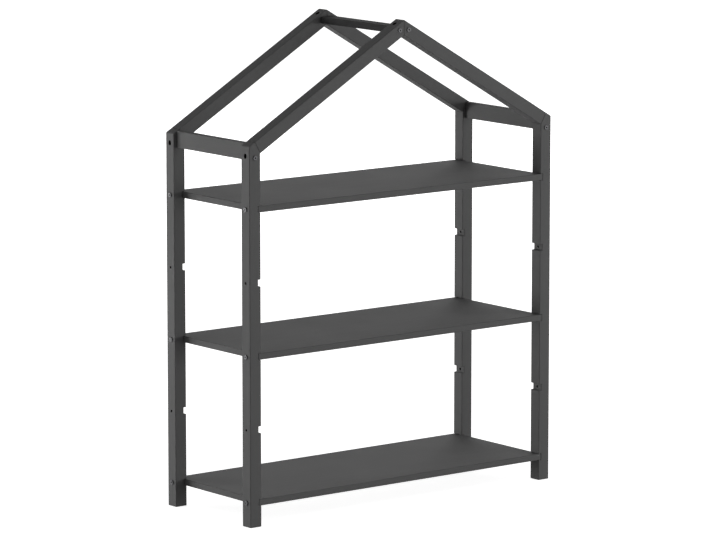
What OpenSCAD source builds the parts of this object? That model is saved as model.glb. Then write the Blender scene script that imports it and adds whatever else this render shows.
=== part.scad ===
// A house-shaped open shelf for a child's room: two gables of square timber, joined by
// two eave rails, a flat ridge rail and three shelves that sit in housings in the posts.
// X runs across the front, Y from front to back and Z up. The origin is on the floor,
// under the middle of the frame.

/* [Frame] */
// Overall width, over the posts' outer faces
frameWidth = 1000; // [700:5:1300]
// Overall depth, over the posts' front and back faces
frameDepth = 360; // [250:5:500]
// Height of the eaves, at the posts' outer faces
eaveHeight = 983.5; // [920:0.5:1100]
// Slope of the roof, in degrees
roofPitch = 30; // [25:1:40]

/* [Timber] */
// Width of the posts across the front
postWidth = 35; // [32:0.5:42]
// Depth of the posts and the rafters from front to back
postDepth = 35; // [32:0.5:42]
// Height of the rafters, square to the slope
rafterHeight = 35; // [33:0.5:42]
// Radius on the long edges of every timber and board
edgeRadius = 2; // [1:0.25:3]

/* [Shelves] */
// Thickness of the shelves
shelfThickness = 17; // [15:0.5:22]
// Height of the bottom shelf's underside
bottomShelfHeight = 55; // [30:1:100]
// Distance from one housing to the next
housingPitch = 189.5; // [160:0.5:195]
// Depth of the housings in the posts
housingDepth = 8; // [5:0.5:10]
// Free height above a shelf in its housing
housingClearance = 0.3; // [0.1:0.05:1]
// Free length between a shelf's end and the housing's floor
shelfEndGap = 0.5; // [0.2:0.1:0.9]

/* [Rails] */
// Thickness of the eave rails and the ridge rail
railThickness = 17.5; // [15:0.5:22]
// Width of the board that the eave rails are cut from
eaveRailHeight = 44; // [38:1:50]
// Height of the eave rails' underside below the eaves
eaveRailDrop = 37.5; // [35:0.5:45]
// Width of the ridge rail, which lies flat
ridgeRailWidth = 44; // [40:1:50]
// Height of the ridge rail's underside above the rafters' lower corner at the ridge
ridgeRailRise = 5; // [2:0.5:8]
// Gap in each butt joint
jointGap = 0.2; // [0.1:0.05:0.5]

/* [Screws] */
// Thread diameter of all the screws
screwDiameter = 6.3; // [5.5:0.1:7.5]
// Core diameter under the thread
screwCore = 4.5; // [4:0.25:5]
// Length of the screws under their heads
screwLength = 50; // [45:1:60]
// Diameter of the flat heads on the posts and the gables
headDiameter = 12.5; // [10:0.5:15]
// Height of the flat heads, which stand on the surface
headHeight = 2.5; // [2:0.25:4]
// Bevel round the heads
headBevel = 0.5; // [0.25:0.25:1]
// Width across the flats of the sockets in the heads
socketWidth = 4; // [3:0.5:4.5]
// Depth of the sockets
socketDepth = 3; // [1.5:0.25:4]
// Distance from one turn of the thread to the next
threadPitch = 3; // [2:0.5:4]
// Length of the thread
threadLength = 24; // [18:3:30]
// Half the width of a turn of the thread, at the core
threadFlank = 0.5; // [0.3:0.1:0.8]
// Clearance round a screw in its hole
screwClearance = 0.2; // [0.1:0.05:0.4]

/* [Fixings at the roof] */
// Distance of the roof screws from the rafters' undersides
roofScrewInset = 12.6; // [12:0.2:15]
// Diameter of the roof and peak screws' heads, which lie inside the timber
capDiameter = 10; // [9:0.5:10.5]
// Height of these sunk heads
capHeight = 4; // [3:0.5:5]
// Clearance round a sunk head in its hole
capClearance = 0.5; // [0.3:0.1:0.7]
// Depth of the holes above the roof screws' heads
roofScrewSink = 15; // [12:0.5:17]
// Distance of the peak screws' holes from the ridge, down the left slope
peakScrewInset = 21; // [20:0.25:22]
// Lean of the peak screws towards the right rafters, from square to the left slope
peakScrewLean = 20; // [18:0.5:22]
// Depth of the holes above the peak screws' heads
peakScrewSink = 8; // [6:0.5:9]
// Height of the rail screws above the eave rails' underside
railScrewRise = 7.5; // [7:0.25:9]
// Distance between the two ridge screws
ridgeScrewSpacing = 29; // [24:1:32]

/* [Dowels] */
// Diameter of the dowels
dowelDiameter = 8; // [6:1:8]
// Length of the dowels
dowelLength = 30; // [25:1:40]
// Clearance round and behind a dowel in its hole
dowelClearance = 0.2; // [0.1:0.05:0.4]
// Bevel at the dowels' ends
dowelBevel = 1; // [0.5:0.25:1.5]
// Distance of the rafter dowels from the rafters' tops
rafterDowelInset = 9.5; // [8:0.25:11]
// Length of the rafter dowels inside the posts
rafterDowelSeat = 15; // [10:0.5:16]
// Distance of the rail dowels from the eave rails' tops
railDowelInset = 14; // [12:0.5:16]
// Length of the rail dowels inside the posts
railDowelSeat = 10; // [8:0.5:10]

/* [Hidden] */

housingCount = 5;
shelfHousings = [0, 2, 4];
paintColour = [0.31, 0.31, 0.31];
steelColour = [0.42, 0.42, 0.44];
beechColour = [0.80, 0.66, 0.47];

halfWidth = frameWidth / 2;
halfDepth = frameDepth / 2;
ridgeHeight = eaveHeight + halfWidth * tan(roofPitch);
// The square cut for the rafter runs down from the slope to the post's inner face
seatRun = rafterHeight * sin(roofPitch);
seatFoot = eaveHeight + (postWidth - seatRun) * tan(roofPitch) - rafterHeight * cos(roofPitch);
rafterLength = (halfWidth - postWidth) / cos(roofPitch) + rafterHeight * tan(roofPitch);
postMiddle = halfDepth - postDepth / 2;
housingHeight = shelfThickness + housingClearance;
housingFloor = halfWidth - postWidth + housingDepth;
shelfLength = 2 * (housingFloor - shelfEndGap);
eaveRailBottom = eaveHeight - eaveRailDrop;
eaveRailMiddle = halfWidth - postWidth / 2;
railLength = frameDepth - 2 * postDepth - 2 * jointGap;
ridgeRailBottom = ridgeHeight - rafterHeight / cos(roofPitch) + ridgeRailRise;
ridgeScrewHeight = ridgeRailBottom + railThickness / 2;
railScrewHeight = eaveRailBottom + railScrewRise;
railDowelHeight = eaveRailBottom + eaveRailHeight - railDowelInset;
screwBore = screwDiameter + 2 * screwClearance;
capBore = capDiameter + 2 * capClearance;
roofScrewSeat = roofScrewSink + capHeight;
peakScrewSeat = peakScrewSink + capHeight;
// Length of the roof screws' holes in the posts, along their axis
roofScrewRun = (postWidth - roofScrewInset * sin(roofPitch)) / cos(roofPitch);
dowelBore = dowelDiameter + 2 * dowelClearance;
// How far every cut runs past the surface it opens
overrun = 10;
// Faces round the rounded edges, and round the holes and turned pieces
edgeFaces = 32;
roundFaces = 48;

function housingBottom(place) = bottomShelfHeight + place * housingPitch;

// A bar along Z with rounded long edges, its middle on the axis
module roundedBar(sizeX, sizeY, length) {
    linear_extrude(length) {
        square([sizeX - 2 * edgeRadius, sizeY], center = true);
        square([sizeX, sizeY - 2 * edgeRadius], center = true);
        for (signX = [-1, 1], signY = [-1, 1])
            translate([signX * (sizeX / 2 - edgeRadius), signY * (sizeY / 2 - edgeRadius)])
                circle(edgeRadius, $fn = edgeFaces);
    }
}

// A screw along Z that points down, with the underside of its head in the plane z = 0
module screw(headWidth, headRise) {
    socketRadius = socketWidth / 2 / cos(30);
    threadTop = threadLength - screwLength;
    turns = floor(threadLength / threadPitch);
    difference() {
        rotate_extrude($fn = roundFaces) polygon(concat(
            [[0, headRise], [headWidth / 2 - headBevel, headRise], [headWidth / 2, headRise - headBevel],
             [headWidth / 2, 0], [screwDiameter / 2, 0], [screwDiameter / 2, threadTop],
             [screwCore / 2, threadTop]],
            [for (turn = [0 : turns - 1], flank = [1, 0, -1])
                [flank == 0 ? screwDiameter / 2 : screwCore / 2,
                 threadTop - (turn + 1 / 2) * threadPitch + flank * threadFlank]],
            [[screwCore / 2, screwCore / 2 - screwLength], [0, -screwLength]]
        ));
        translate([0, 0, headRise - socketDepth])
            cylinder(h = socketDepth + overrun, r = socketRadius, $fn = 6);
    }
}

// The hole for such a screw, from above the plane of its head's underside to the given depth
module screwHole(depth) {
    translate([0, 0, -depth]) cylinder(h = depth + overrun, d = screwBore, $fn = roundFaces);
}

// The hole for a screw whose head lies inside the timber
module sunkHole(seat, depth) {
    screwHole(depth);
    translate([0, 0, -seat]) cylinder(h = seat + overrun, d = capBore, $fn = roundFaces);
}

// A dowel along Z with bevelled ends, from the given depth under z = 0
module dowel(seat) {
    translate([0, 0, -seat]) rotate_extrude($fn = roundFaces) polygon([
        [0, 0], [dowelDiameter / 2 - dowelBevel, 0], [dowelDiameter / 2, dowelBevel],
        [dowelDiameter / 2, dowelLength - dowelBevel], [dowelDiameter / 2 - dowelBevel, dowelLength],
        [0, dowelLength]
    ]);
}

module dowelHole(seat) {
    translate([0, 0, -seat - dowelClearance])
        cylinder(h = dowelLength + 2 * dowelClearance, d = dowelBore, $fn = roundFaces);
}

// Places its children at one corner of the frame: side -1 is left, row -1 is front.
// Everything below is drawn for the front left corner and mirrored to the other three.
module atCorner(side, row) {
    mirror([side > 0 ? 1 : 0, 0, 0]) mirror([0, row > 0 ? 1 : 0, 0]) children();
}

// From the surface of a post's outer face inwards, at the given height
module acrossPost(height) {
    translate([-halfWidth, -postMiddle, height]) rotate([0, -90, 0]) children();
}

// From a post's front face backwards, into the end of the eave rail
module alongRailScrew() {
    translate([-eaveRailMiddle, -halfDepth, railScrewHeight]) rotate([90, 0, 0]) children();
}

// From a rafter's front face backwards, into the end of the ridge rail
module alongRidgeScrew() {
    translate([-ridgeScrewSpacing / 2, -halfDepth, ridgeScrewHeight]) rotate([90, 0, 0]) children();
}

// Along the rafter from its square end, with z = 0 in the end's plane and the top at x = 0
module alongRafter() {
    translate([-halfWidth + postWidth - seatRun, -postMiddle, seatFoot + rafterHeight * cos(roofPitch)])
        rotate([0, 90 - roofPitch, 0]) children();
}

// From the mouth of the roof screw's hole, on the post's outer face, inwards along the rafter
module alongRoofScrew() {
    alongRafter() translate([rafterHeight - roofScrewInset, 0, -roofScrewRun])
        rotate([180, 0, 0]) children();
}

// From the mouth of the peak screw's hole, on the left rafter's top, down into the right
// rafter. It passes between the two ridge screws.
module alongPeakScrew() {
    translate([-peakScrewInset * cos(roofPitch), -postMiddle, ridgeHeight - peakScrewInset * sin(roofPitch)])
        rotate([0, -roofPitch - peakScrewLean, 0]) children();
}

module rafterDowelPlace() {
    alongRafter() translate([rafterDowelInset, 0, 0]) children();
}

module railDowelPlace() {
    translate([-eaveRailMiddle, -halfDepth + postDepth, railDowelHeight]) rotate([-90, 0, 0]) children();
}

// The post's side view: the slope at the top and the square cut for the rafter
module postOutline() {
    polygon([
        [0, 0], [postWidth, 0], [postWidth, seatFoot],
        [postWidth - seatRun, seatFoot + rafterHeight * cos(roofPitch)], [0, eaveHeight]
    ]);
}

module post() {
    color(paintColour) difference() {
        intersection() {
            translate([-halfWidth + postWidth / 2, -postMiddle, 0])
                roundedBar(postWidth, postDepth, eaveHeight + postWidth);
            translate([-halfWidth, -halfDepth + postDepth + overrun, 0]) rotate([90, 0, 0])
                linear_extrude(postDepth + 2 * overrun) postOutline();
        }
        for (place = [0 : housingCount - 1])
            translate([-housingFloor, -halfDepth - overrun, housingBottom(place)])
                cube([housingDepth + overrun, postDepth + 2 * overrun, housingHeight]);
        for (place = [0 : housingCount - 1])
            acrossPost(housingBottom(place) + shelfThickness / 2) screwHole(postWidth + overrun);
        alongRoofScrew() sunkHole(roofScrewSeat, roofScrewSeat + screwLength);
        alongRailScrew() screwHole(postDepth + overrun);
        rafterDowelPlace() dowelHole(rafterDowelSeat);
        railDowelPlace() dowelHole(railDowelSeat);
    }
}

// The peak screw comes from the left on both sides, so its hole isn't mirrored
module rafter(side) {
    color(paintColour) difference() {
        alongRafter() translate([rafterHeight / 2, 0, jointGap])
            roundedBar(rafterHeight, postDepth, rafterLength);
        translate([-jointGap / 2, -halfDepth - overrun, seatFoot])
            cube([rafterLength, postDepth + 2 * overrun, 2 * ridgeHeight]);
        alongRoofScrew() screwHole(roofScrewSeat + screwLength + screwClearance);
        alongRidgeScrew() screwHole(postDepth + overrun);
        rafterDowelPlace() dowelHole(rafterDowelSeat);
        mirror([side > 0 ? 1 : 0, 0, 0]) alongPeakScrew()
            sunkHole(peakScrewSeat, peakScrewSeat + screwLength + screwClearance);
    }
}

module eaveRail() {
    color(paintColour) difference() {
        translate([-eaveRailMiddle, -railLength / 2, eaveRailBottom + eaveRailHeight / 2])
            rotate([-90, 0, 0]) roundedBar(railThickness, eaveRailHeight, railLength);
        for (row = [-1, 1]) atCorner(-1, row) {
            alongRailScrew() screwHole(screwLength + screwClearance);
            railDowelPlace() dowelHole(railDowelSeat);
        }
    }
}

module ridgeRail() {
    color(paintColour) difference() {
        translate([0, -railLength / 2, ridgeScrewHeight]) rotate([-90, 0, 0])
            roundedBar(ridgeRailWidth, railThickness, railLength);
        for (side = [-1, 1], row = [-1, 1]) atCorner(side, row)
            alongRidgeScrew() screwHole(screwLength + screwClearance);
    }
}

module shelf(place) {
    color(paintColour) difference() {
        translate([-shelfLength / 2, 0, housingBottom(place) + shelfThickness / 2]) rotate([0, 90, 0])
            roundedBar(shelfThickness, frameDepth, shelfLength);
        for (side = [-1, 1], row = [-1, 1]) atCorner(side, row)
            acrossPost(housingBottom(place) + shelfThickness / 2) screwHole(screwLength + screwClearance);
    }
}

module shelfScrews(place) {
    color(steelColour) for (side = [-1, 1], row = [-1, 1]) atCorner(side, row)
        acrossPost(housingBottom(place) + shelfThickness / 2) screw(headDiameter, headHeight);
}

module roofScrews() {
    color(steelColour) for (side = [-1, 1], row = [-1, 1]) atCorner(side, row)
        alongRoofScrew() translate([0, 0, -roofScrewSeat]) screw(capDiameter, capHeight);
}

module peakScrews() {
    color(steelColour) for (row = [-1, 1]) atCorner(-1, row)
        alongPeakScrew() translate([0, 0, -peakScrewSeat]) screw(capDiameter, capHeight);
}

module railScrews() {
    color(steelColour) for (side = [-1, 1], row = [-1, 1]) atCorner(side, row)
        alongRailScrew() screw(headDiameter, headHeight);
}

module ridgeScrews() {
    color(steelColour) for (side = [-1, 1], row = [-1, 1]) atCorner(side, row)
        alongRidgeScrew() screw(headDiameter, headHeight);
}

module rafterDowels() {
    color(beechColour) for (side = [-1, 1], row = [-1, 1]) atCorner(side, row)
        rafterDowelPlace() dowel(rafterDowelSeat);
}

module railDowels() {
    color(beechColour) for (side = [-1, 1], row = [-1, 1]) atCorner(side, row)
        railDowelPlace() dowel(railDowelSeat);
}

atCorner(-1, -1) post();  // post_front_left
atCorner(1, -1) post();  // post_front_right
atCorner(-1, 1) post();  // post_back_left
atCorner(1, 1) post();  // post_back_right
atCorner(-1, -1) rafter(-1);  // rafter_front_left
atCorner(1, -1) rafter(1);  // rafter_front_right
atCorner(-1, 1) rafter(-1);  // rafter_back_left
atCorner(1, 1) rafter(1);  // rafter_back_right
atCorner(-1, -1) eaveRail();  // eave_rail_left
atCorner(1, -1) eaveRail();  // eave_rail_right
ridgeRail();  // ridge_rail
shelf(shelfHousings[0]);  // shelf_bottom
shelf(shelfHousings[1]);  // shelf_middle
shelf(shelfHousings[2]);  // shelf_top
shelfScrews(shelfHousings[0]);  // shelf_screws_bottom
shelfScrews(shelfHousings[1]);  // shelf_screws_middle
shelfScrews(shelfHousings[2]);  // shelf_screws_top
roofScrews();  // roof_screws
peakScrews();  // peak_screws
railScrews();  // rail_screws
ridgeScrews();  // ridge_screws
rafterDowels();  // rafter_dowels
railDowels();  // rail_dowels
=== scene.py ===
import math

import bmesh
import bpy
import numpy as np
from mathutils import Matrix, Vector


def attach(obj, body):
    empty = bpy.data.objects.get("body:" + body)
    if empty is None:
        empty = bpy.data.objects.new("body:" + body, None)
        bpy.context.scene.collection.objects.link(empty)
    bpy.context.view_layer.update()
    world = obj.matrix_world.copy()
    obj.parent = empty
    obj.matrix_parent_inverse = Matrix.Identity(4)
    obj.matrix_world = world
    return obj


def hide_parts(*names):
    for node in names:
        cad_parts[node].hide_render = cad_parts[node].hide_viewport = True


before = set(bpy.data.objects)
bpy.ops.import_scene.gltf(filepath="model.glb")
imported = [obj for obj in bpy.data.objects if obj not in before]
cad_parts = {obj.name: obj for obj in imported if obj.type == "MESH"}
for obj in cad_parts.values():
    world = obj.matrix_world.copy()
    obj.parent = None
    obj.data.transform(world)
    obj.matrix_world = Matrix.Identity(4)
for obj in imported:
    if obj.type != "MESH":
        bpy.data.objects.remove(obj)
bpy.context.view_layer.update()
print("frame loaded:", len(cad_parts), "nodes")

# The camera: the point it looks at and how far off it stands, in metres, its angles in degrees,
# and its lens and sensor in millimetres
cameraView = {
    "aim": (-0.0102, -0.0001, 0.5967),
    "distance": 11.933,
    "azimuth": 38.167,
    "elevation": 9.265,
    "lens": 228.13,
    "sensor": 36.0,
    "clip": (0.1, 200.0),
}


def makeCamera(view):
    azimuth, elevation = math.radians(view["azimuth"]), math.radians(view["elevation"])
    forward = Vector((
        math.sin(azimuth) * math.cos(elevation),
        math.cos(azimuth) * math.cos(elevation),
        -math.sin(elevation),
    ))
    data = bpy.data.cameras.new("photoCamera")
    data.lens = view["lens"]
    data.sensor_width = view["sensor"]
    data.clip_start, data.clip_end = view["clip"]
    camera = bpy.data.objects.new("photoCamera", data)
    camera.rotation_mode = "QUATERNION"
    camera.location = Vector(view["aim"]) - forward * view["distance"]
    camera.rotation_quaternion = forward.to_track_quat("-Z", "Y")
    bpy.context.scene.collection.objects.link(camera)
    bpy.context.scene.camera = camera


makeCamera(cameraView)
print("camera placed")


def newMaterial(name):
    material = bpy.data.materials.new(name)
    material.use_nodes = True
    tree = material.node_tree
    tree.nodes.clear()
    return material, tree


# Adds a node, sets its own properties, then its sockets: a value, or an output to link.
# A socket goes by its name, or by its number: i2 is the input 2.
def addNode(tree, kind, settings=None, **inputs):
    node = tree.nodes.new(kind)
    for key, value in (settings or {}).items():
        setattr(node, key, value)
    for key, value in inputs.items():
        numbered = key[0] == "i" and key[1:].isdigit()
        fillSocket(tree, node.inputs[int(key[1:]) if numbered else key], value)
    return node


def fillSocket(tree, socket, value):
    if isinstance(value, bpy.types.NodeSocket):
        tree.links.new(value, socket)
    else:
        socket.default_value = value


def calculate(tree, operation, *values):
    step = addNode(tree, "ShaderNodeMath", {"operation": operation})
    for socket, value in zip(step.inputs, values):
        fillSocket(tree, socket, value)
    return step.outputs[0]


# Goes from first to second as the share goes from 0 to 1
def mixValues(tree, share, first, second):
    mix = addNode(tree, "ShaderNodeMix", {"data_type": "FLOAT"}, i0=share, i2=first, i3=second)
    return mix.outputs[0]


def mixColours(tree, share, first, second):
    mix = addNode(tree, "ShaderNodeMix", {"data_type": "RGBA"}, i0=share, i6=first, i7=second)
    return mix.outputs[2]


# Noise whose lumps are about as wide as the given width
def addNoise(tree, place, width, detail):
    count = calculate(tree, "DIVIDE", 1.0, width)
    noise = addNode(tree, "ShaderNodeTexNoise", None, Vector=place, Scale=count, Detail=detail)
    return noise.outputs[0]


# A shader node group with named sockets; inputs and outputs hold (name, type)
def makeGroup(name, inputs, outputs):
    group = bpy.data.node_groups.new(name, "ShaderNodeTree")
    for label, kind in inputs:
        group.interface.new_socket(name=label, in_out="INPUT", socket_type=kind)
    for label, kind in outputs:
        group.interface.new_socket(name=label, in_out="OUTPUT", socket_type=kind)
    return group, group.nodes.new("NodeGroupInput"), group.nodes.new("NodeGroupOutput")


# The form of the grain, with X along the timber. Lengths are in metres. A stretch multiplies X, Y
# and Z before the noise is looked up, so a small number draws it out.
timberGrain = {
    "bendStretch": (0.9, 6.0, 6.0),
    "bendDepth": 0.03,
    "pithOffset": (0.0, 0.045, 0.07),
    "ringFrom": -0.2,        # the sine's value where the pale part of a ring begins
    "poreStretch": (0.03, 1.0, 1.0),
    "poreInTone": 0.45,
    "poreInHeight": 0.6,
}


# Growth rings are shells round a far pith line, bent by slow noise: the distance from the line,
# divided by the ring width, goes through a sine. Pores are noise drawn out along X.
def makeGrainGroup(form):
    group, given, result = makeGroup(
        "timberGrain",
        [("Vector", "NodeSocketVector"), ("Ring Width", "NodeSocketFloat"),
         ("Pore Width", "NodeSocketFloat")],
        [("Tone", "NodeSocketFloat"), ("Height", "NodeSocketFloat")],
    )
    place = given.outputs["Vector"]
    stretch = addNode(group, "ShaderNodeMapping", {"vector_type": "POINT"},
                      Vector=place, Scale=form["bendStretch"])
    bend = addNode(group, "ShaderNodeTexNoise", None, Vector=stretch.outputs[0], Scale=1.0, Detail=2.0)
    pith = addNode(group, "ShaderNodeMapping", {"vector_type": "POINT"},
                   Vector=place, Location=form["pithOffset"], Scale=(0.0, 1.0, 1.0))
    distance = addNode(group, "ShaderNodeVectorMath", {"operation": "LENGTH"}, i0=pith.outputs[0])
    bent = calculate(group, "MULTIPLY_ADD", bend.outputs[0], form["bendDepth"], distance.outputs["Value"])
    turns = calculate(group, "DIVIDE", bent, given.outputs["Ring Width"])
    wave = calculate(group, "SINE", calculate(group, "MULTIPLY", turns, 2 * math.pi))
    ring = addNode(group, "ShaderNodeMapRange", {"interpolation_type": "SMOOTHSTEP"},
                   Value=wave, i1=form["ringFrom"], i2=1.0, i3=0.0, i4=1.0).outputs[0]
    poreSpace = addNode(group, "ShaderNodeMapping", {"vector_type": "POINT"},
                        Vector=place, Scale=form["poreStretch"])
    pore = addNoise(group, poreSpace.outputs[0], given.outputs["Pore Width"], detail=3.0)
    for label, share in (("Tone", form["poreInTone"]), ("Height", form["poreInHeight"])):
        group.links.new(mixValues(group, share, ring, pore), result.inputs[label])
    return group


# The skin of a sprayed coat: a fine rounded orange peel, and broad patches that are a little
# lighter and rougher than others
def makePaintSkinGroup():
    group, given, result = makeGroup(
        "paintSkin",
        [("Vector", "NodeSocketVector"), ("Peel Width", "NodeSocketFloat"),
         ("Patch Width", "NodeSocketFloat")],
        [("Height", "NodeSocketFloat"), ("Patch", "NodeSocketFloat")],
    )
    place = given.outputs["Vector"]
    peel = addNoise(group, place, given.outputs["Peel Width"], detail=1.0)
    patch = addNoise(group, place, given.outputs["Patch Width"], detail=3.0)
    group.links.new(peel, result.inputs["Height"])
    group.links.new(patch, result.inputs["Patch"])
    return group


grainGroup = makeGrainGroup(timberGrain)
skinGroup = makePaintSkinGroup()

# Dark grey matt paint on planed timber, with widths and depths in metres
paint = {
    "light": (0.072, 0.072, 0.072, 1.0),
    "dark": (0.060, 0.060, 0.060, 1.0),
    "patchShare": 0.6,
    "roughLow": 0.80,
    "roughHigh": 0.84,
    "specular": 0.5,
    "ringWidth": 0.0045,
    "poreWidth": 0.0011,
    "grainDepth": 0.00006,
    "peelWidth": 0.0016,
    "peelDepth": 0.00002,
    "patchWidth": 0.12,
}
# The ridge rail's coat is the same paint made darker and less glossy than the rest: painted shade on the
# ridge rail
ridgeShadedPaint = {
    **paint,
    "light": (0.052, 0.052, 0.052, 1.0),
    "dark": (0.045, 0.045, 0.045, 1.0),
    "specular": 0.05,
}
# Most of a noise lies between these, and what it drives goes from its low to its high value there
noiseSpan = (0.3, 0.7)


# The place on a piece. turn swings the object's axes so that X runs along the grain, and shift
# moves to fresh wood
def placeOnTimber(tree, turn, shift=(0.0, 0.0, 0.0)):
    place = addNode(tree, "ShaderNodeTexCoord")
    along = addNode(tree, "ShaderNodeMapping", {"vector_type": "POINT"},
                    Vector=place.outputs["Object"], Rotation=turn, Location=shift)
    return along.outputs[0]


def addGrain(tree, place, look):
    return addNode(tree, "ShaderNodeGroup", {"node_tree": grainGroup}, **{
        "Vector": place, "Ring Width": look["ringWidth"], "Pore Width": look["poreWidth"]})


def roughnessFrom(tree, noise, look):
    rough = addNode(tree, "ShaderNodeMapRange", None, Value=noise, i1=noiseSpan[0], i2=noiseSpan[1],
                    i3=look["roughLow"], i4=look["roughHigh"])
    return rough.outputs[0]


def paintedTimber(name, coat, turn, shift):
    material, tree = newMaterial(name)
    place = placeOnTimber(tree, turn, shift)
    grain = addGrain(tree, place, coat)
    skin = addNode(tree, "ShaderNodeGroup", {"node_tree": skinGroup}, **{
        "Vector": place, "Peel Width": coat["peelWidth"], "Patch Width": coat["patchWidth"]})
    tone = mixValues(tree, coat["patchShare"], grain.outputs["Tone"], skin.outputs["Patch"])
    grainBump = addNode(tree, "ShaderNodeBump", None, Strength=1.0,
                        Distance=coat["grainDepth"], Height=grain.outputs["Height"])
    skinBump = addNode(tree, "ShaderNodeBump", None, Strength=1.0, Distance=coat["peelDepth"],
                       Height=skin.outputs["Height"], Normal=grainBump.outputs[0])
    shader = addNode(tree, "ShaderNodeBsdfPrincipled", None, **{
        "Base Color": mixColours(tree, tone, coat["dark"], coat["light"]),
        "Roughness": roughnessFrom(tree, skin.outputs["Patch"], coat),
        "Specular IOR Level": coat["specular"],
        "Normal": skinBump.outputs[0]})
    addNode(tree, "ShaderNodeOutputMaterial", None, Surface=shader.outputs[0])
    return material


# Steel of the screws, with a dark nickel finish: spangles to the metre, and their depth in metres
steel = {
    "light": (0.092, 0.092, 0.095, 1.0),
    "dark": (0.067, 0.067, 0.07, 1.0),
    "roughLow": 0.55,
    "roughHigh": 0.65,
    "spangle": 900.0,
    "spangleDepth": 0.00001,
}


def nickelSteel(look):
    material, tree = newMaterial("nickelSteel")
    place = addNode(tree, "ShaderNodeTexCoord")
    cloud = addNode(tree, "ShaderNodeTexNoise", None, Vector=place.outputs["Object"],
                    Scale=look["spangle"], Detail=3.0).outputs[0]
    bump = addNode(tree, "ShaderNodeBump", None, Strength=1.0, Distance=look["spangleDepth"], Height=cloud)
    shader = addNode(tree, "ShaderNodeBsdfPrincipled", None, **{
        "Base Color": mixColours(tree, cloud, look["dark"], look["light"]),
        "Metallic": 1.0,
        "Roughness": roughnessFrom(tree, cloud, look),
        "Normal": bump.outputs[0]})
    addNode(tree, "ShaderNodeOutputMaterial", None, Surface=shader.outputs[0])
    return material


# Bare turned beech of the dowels
beech = {
    "light": (0.62, 0.42, 0.25, 1.0),
    "dark": (0.45, 0.27, 0.14, 1.0),
    "roughness": 0.62,
    "ringWidth": 0.0022,
    "poreWidth": 0.0006,
    "grainDepth": 0.00005,
}


def beechWood(name, look, turn):
    material, tree = newMaterial(name)
    grain = addGrain(tree, placeOnTimber(tree, turn), look)
    bump = addNode(tree, "ShaderNodeBump", None, Strength=1.0,
                   Distance=look["grainDepth"], Height=grain.outputs["Height"])
    shader = addNode(tree, "ShaderNodeBsdfPrincipled", None, **{
        "Base Color": mixColours(tree, grain.outputs["Tone"], look["dark"], look["light"]),
        "Roughness": look["roughness"],
        "Normal": bump.outputs[0]})
    addNode(tree, "ShaderNodeOutputMaterial", None, Surface=shader.outputs[0])
    return material


# Painted shade: the walls of the drilled holes are coloured near black, standing for the shade deep inside
# them
bore = {
    "colour": (0.003, 0.003, 0.003, 1.0),
    "roughness": 0.9,
    "specular": 0.05,
}


def boreShade(look):
    material, tree = newMaterial("boreShade")
    shader = addNode(tree, "ShaderNodeBsdfPrincipled", None, **{
        "Base Color": look["colour"],
        "Roughness": look["roughness"],
        "Specular IOR Level": look["specular"]})
    addNode(tree, "ShaderNodeOutputMaterial", None, Surface=shader.outputs[0])
    return material


roofPitch = math.radians(30)
quarterTurn = math.pi / 2
# The turn that brings each piece's length onto X
grainTurns = {
    "post": (0.0, quarterTurn, 0.0),
    "rail": (0.0, 0.0, -quarterTurn),
    "shelf": (0.0, 0.0, 0.0),
    "rafterLeft": (0.0, roofPitch, 0.0),
    "rafterRight": (0.0, -roofPitch, 0.0),
}
# From one piece to the next the grain moves on, in metres: along the timber without end, and
# across it by steps that start again after so many pieces
freshWood = {
    "along": 0.37,
    "across": (0.023, 0.017),
    "pieces": (3, 4),
}


def woodShift(number):
    (acrossY, acrossZ), (piecesY, piecesZ) = freshWood["across"], freshWood["pieces"]
    return freshWood["along"] * number, acrossY * (number % piecesY), acrossZ * (number % piecesZ)


def timberKind(node):
    if node.startswith("post"):
        return "post"
    if node.startswith("shelf"):
        return "shelf"
    if node.startswith("rafter"):
        return "rafterLeft" if node.endswith("left") else "rafterRight"
    return "rail"


print("materials described")

# How the sawn ends, the housings' mouths and the drilled holes are eased: lengths in metres,
# angles in radians
easing = {
    "endWidth": 0.0018,
    "endSteps": 3,
    "rimWidth": 0.0002,
    "rimSteps": 1,
    "roundness": 0.5,        # a quarter circle
    "rimAcross": 0.02,
    "sharpFrom": math.radians(50),
    "flatWithin": math.radians(0.3),
    "boreTurn": (math.radians(3), math.radians(12)),
    "boreEdge": 0.003,
    "mergeWithin": 0.000002,
    "largeFacesLead": 90,        # in the shading of a corner, 50 being even
}


# Sorts the sharp outward edges into those of cut ends and housings, and the small closed rims of
# holes: edges that share corners make one loop, and a loop is a rim where its box is small
def sortSharpEdges(work):
    waiting = {edge for edge in work.edges if edge.is_manifold and edge.is_convex
               and edge.calc_face_angle() > easing["sharpFrom"]}
    ends, rims = [], []
    while waiting:
        loop, ahead = [], [waiting.pop()]
        while ahead:
            edge = ahead.pop()
            loop.append(edge)
            near = {other for corner in edge.verts for other in corner.link_edges} & waiting
            waiting -= near
            ahead.extend(near)
        corners = np.array([corner.co[:] for edge in loop for corner in edge.verts])
        across = np.linalg.norm(np.ptp(corners, axis=0))
        (rims if across < easing["rimAcross"] else ends).extend(loop)
    return ends, rims


def roundEdges(work, edges, width, steps):
    bmesh.ops.bevel(work, geom=edges, offset=width, offset_type="OFFSET", segments=steps,
                    profile=easing["roundness"], affect="EDGES", clamp_overlap=False)


# Puts corners, edges or faces in the order of their keys, and numbers them
def putInOrder(elements, key):
    ranks = {element: rank for rank, element in enumerate(sorted(elements, key=key))}
    elements.sort(key=ranks.get)
    elements.index_update()


# The walls of drilled holes: narrow strips that meet at long edges with a small inward turn
def boreWalls(work):
    low, high = easing["boreTurn"]
    return {face for edge in work.edges
            if edge.is_manifold and edge.calc_length() > easing["boreEdge"]
            and low < -edge.calc_face_angle_signed() < high for face in edge.link_faces}
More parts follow.
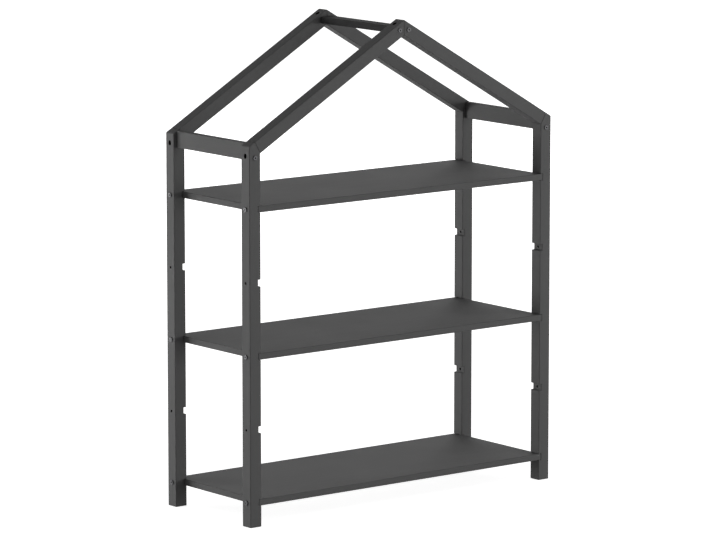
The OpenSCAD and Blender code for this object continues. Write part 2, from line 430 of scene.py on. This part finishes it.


# A copy of a timber piece whose cut edges are rounded off: triangles in one plane are joined
# first, and then the sharp outward edges are bevelled. Bevelled parts come in a new order on each
# run, so they are put in order. The walls of the holes take the second material, which colours
# them near black as painted shade. The source's own normals don't fit the new faces, so they go.
def easedCopy(node, name, materials):
    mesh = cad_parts[node].data.copy()
    mesh.name = name
    mesh.materials.clear()
    for material in materials:
        mesh.materials.append(material)
    work = bmesh.new()
    work.from_mesh(mesh)
    bmesh.ops.remove_doubles(work, verts=work.verts, dist=easing["mergeWithin"])
    bmesh.ops.dissolve_limit(work, angle_limit=easing["flatWithin"], verts=work.verts, edges=work.edges)
    ends, rims = sortSharpEdges(work)
    roundEdges(work, ends, easing["endWidth"], easing["endSteps"])
    rims = [edge for edge in rims if edge.is_valid]
    roundEdges(work, rims, easing["rimWidth"], easing["rimSteps"])
    putInOrder(work.verts, lambda corner: corner.co[:])
    putInOrder(work.edges, lambda edge: sorted(corner.index for corner in edge.verts))
    putInOrder(work.faces, lambda face: sorted(corner.index for corner in face.verts))
    for face in work.faces:
        face.smooth = True
    # The hole walls take the near-black painted shade
    for face in boreWalls(work):
        face.material_index = 1
    work.to_mesh(mesh)
    work.free()
    mesh.attributes.remove(mesh.attributes["custom_normal"])
    piece = bpy.data.objects.new(name, mesh)
    bpy.context.scene.collection.objects.link(piece)
    shade = piece.modifiers.new("shade", "WEIGHTED_NORMAL")
    shade.weight = easing["largeFacesLead"]
    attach(piece, "root")
    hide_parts(node)


# The near-black painted shade for the inside of the holes
boreShadeMaterial = boreShade(bore)
timberNodes = [node for node in sorted(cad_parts)
               if "screws" not in node and "dowels" not in node]
for number, node in enumerate(timberNodes):
    # The ridge rail takes the darker, less glossy copy of the paint, as painted shade
    coat = ridgeShadedPaint if node == "ridge_rail" else paint
    material = paintedTimber("paint_" + node, coat, grainTurns[timberKind(node)], woodShift(number))
    easedCopy(node, "painted_" + node, [material, boreShadeMaterial])
print("timber dressed:", len(timberNodes), "pieces")

screwMaterial = nickelSteel(steel)
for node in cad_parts:
    if "screws" in node:
        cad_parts[node].material_slots[0].material = screwMaterial
for node, name, kind in (("rafter_dowels", "beechSlanting", "rafterLeft"),
                         ("rail_dowels", "beechLevel", "rail")):
    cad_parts[node].material_slots[0].material = beechWood(name, beech, grainTurns[kind])
print("fixings dressed")

# The studio: a white floor that sweeps up into a round wall. Lengths are in metres, and a white
# of 1 is the brightest that shows.
studio = {
    "floorRings": (0.5, 2.0, 6.0),
    "floorRadius": 22.0,
    "sweepRadius": 3.0,
    "wallTop": 8.0,
    "around": 96,
    "upSteps": 16,
    "nearGlow": 0.86,
    "farGlow": 1.0,
    "nearRadius": 1.5,
    "farRadius": 4.5,
    "nearMirrored": 0.5,
    "farMirrored": 1.0,
    "paper": (0.8, 0.8, 0.8, 1.0),
    "ceiling": (0.25, 0.25, 0.25, 1.0),
}


# A surface of revolution: out along the floor, up a quarter circle and up the wall
def studioSweep(size):
    bend = np.linspace(0, np.pi / 2, size["upSteps"])
    flatRadius = size["floorRadius"] - size["sweepRadius"]
    radius = np.concatenate([
        size["floorRings"], flatRadius + size["sweepRadius"] * np.sin(bend), [size["floorRadius"]]])
    height = np.concatenate([
        np.zeros(len(size["floorRings"])), size["sweepRadius"] * (1 - np.cos(bend)), [size["wallTop"]]])
    angle = np.linspace(0, 2 * np.pi, size["around"], endpoint=False)
    grid = np.stack([
        radius[:, None] * np.cos(angle), radius[:, None] * np.sin(angle),
        np.repeat(height[:, None], len(angle), 1),
    ], -1).reshape(-1, 3)
    rows, columns = len(radius), len(angle)
    low = np.arange(rows - 1)[:, None] * columns + np.arange(columns)
    following = np.arange(rows - 1)[:, None] * columns + (np.arange(columns) + 1) % columns
    quads = np.stack([low, low + columns, following + columns, following], -1).reshape(-1, 4)
    mesh = bpy.data.meshes.new("studioSweep")
    mesh.from_pydata(grid, [], quads.tolist() + [list(range(columns))])
    mesh.polygons.foreach_set("use_smooth", np.ones(len(mesh.polygons), bool))
    sweep = bpy.data.objects.new("studioSweep", mesh)
    bpy.context.scene.collection.objects.link(sweep)
    return sweep


# White that goes from near to far with the distance from the middle of the floor
def whiteByDistance(tree, look, near, far):
    place = addNode(tree, "ShaderNodeTexCoord")
    radius = addNode(tree, "ShaderNodeVectorMath", {"operation": "LENGTH"}, i0=place.outputs["Object"])
    white = addNode(tree, "ShaderNodeMapRange", {"interpolation_type": "SMOOTHSTEP"},
                    Value=radius.outputs["Value"], i1=look["nearRadius"], i2=look["farRadius"],
                    i3=look[near], i4=look[far])
    return white.outputs[0]


# White as seen and as mirrored, and plain paper to all other light, so that it takes the shadow.
# Near the middle the white is weaker: the lit paper is bright there by itself, and the shelf
# shades what is mirrored there. From below the paper isn't there.
def studioPaper(look):
    material, tree = newMaterial("studioPaper")
    path = addNode(tree, "ShaderNodeLightPath").outputs
    seen = calculate(tree, "MAXIMUM", path["Is Camera Ray"], path["Is Transmission Ray"])
    shown = calculate(tree, "MULTIPLY", seen, whiteByDistance(tree, look, "nearGlow", "farGlow"))
    mirrored = calculate(tree, "MULTIPLY", path["Is Glossy Ray"],
                         whiteByDistance(tree, look, "nearMirrored", "farMirrored"))
    light = addNode(tree, "ShaderNodeEmission", None, Strength=calculate(tree, "MAXIMUM", shown, mirrored))
    matt = addNode(tree, "ShaderNodeBsdfDiffuse", None, Color=look["paper"])
    both = addNode(tree, "ShaderNodeAddShader", None, i0=light.outputs[0], i1=matt.outputs[0])
    gone = addNode(tree, "ShaderNodeBsdfTransparent")
    side = addNode(tree, "ShaderNodeNewGeometry")
    oneSided = addNode(tree, "ShaderNodeMixShader", None,
                       i0=side.outputs["Backfacing"], i1=both.outputs[0], i2=gone.outputs[0])
    addNode(tree, "ShaderNodeOutputMaterial", None, Surface=oneSided.outputs[0])
    return material


sweep = studioSweep(studio)
sweep.data.materials.append(studioPaper(studio))


def makeWorld(colour):
    world = bpy.data.worlds.new("studioCeiling")
    bpy.context.scene.world = world
    world.use_nodes = True
    tree = world.node_tree
    tree.nodes.clear()
    ceiling = addNode(tree, "ShaderNodeBackground", None, Color=colour)
    addNode(tree, "ShaderNodeOutputWorld", None, Surface=ceiling.outputs[0])


makeWorld(studio["ceiling"])

# Soft boxes: direction from the aim as azimuth and elevation in degrees, azimuth 0 at the front
# and 90 to the right, then distance, width, height and brightness. The low box stands on the floor.
softBoxes = {
    "frontRightBox": (38.0, 2.0, 8.0, 4.8, 1.6, 11.6),
    "highFrontRightBox": (38.0, 40.0, 8.0, 4.8, 3.2, 2.0),
    "backRightBox": (142.0, 15.0, 8.0, 4.8, 3.2, 2.6),
    "backLeftBox": (218.0, 2.0, 8.0, 4.8, 1.6, 5.2),
    "highBackLeftBox": (218.0, 40.0, 8.0, 4.8, 3.2, 1.0),
    "lowBackBox": (218.0, -7.2, 3.02, 2.0, 0.5, 15.6),
}
softBoxAim = (0.0, 0.0, 0.65)        # near the middle of the object


# brightness is the radiance of the box's face, 1 being white
def makeSoftBox(name, azimuth, elevation, distance, width, height, brightness):
    turn, rise = math.radians(azimuth), math.radians(elevation)
    outward = Vector((math.sin(turn) * math.cos(rise), -math.cos(turn) * math.cos(rise), math.sin(rise)))
    data = bpy.data.lights.new(name, "AREA")
    data.shape = "RECTANGLE"
    data.size, data.size_y = width, height
    data.energy = brightness * math.pi * width * height
    box = bpy.data.objects.new(name, data)
    box.location = Vector(softBoxAim) + outward * distance
    box.rotation_mode = "QUATERNION"
    box.rotation_quaternion = (-outward).to_track_quat("-Z", "Y")
    box.visible_camera = False
    bpy.context.scene.collection.objects.link(box)


for name, values in softBoxes.items():
    makeSoftBox(name, *values)

bpy.context.scene.view_settings.view_transform = "Standard"
print("studio lit")
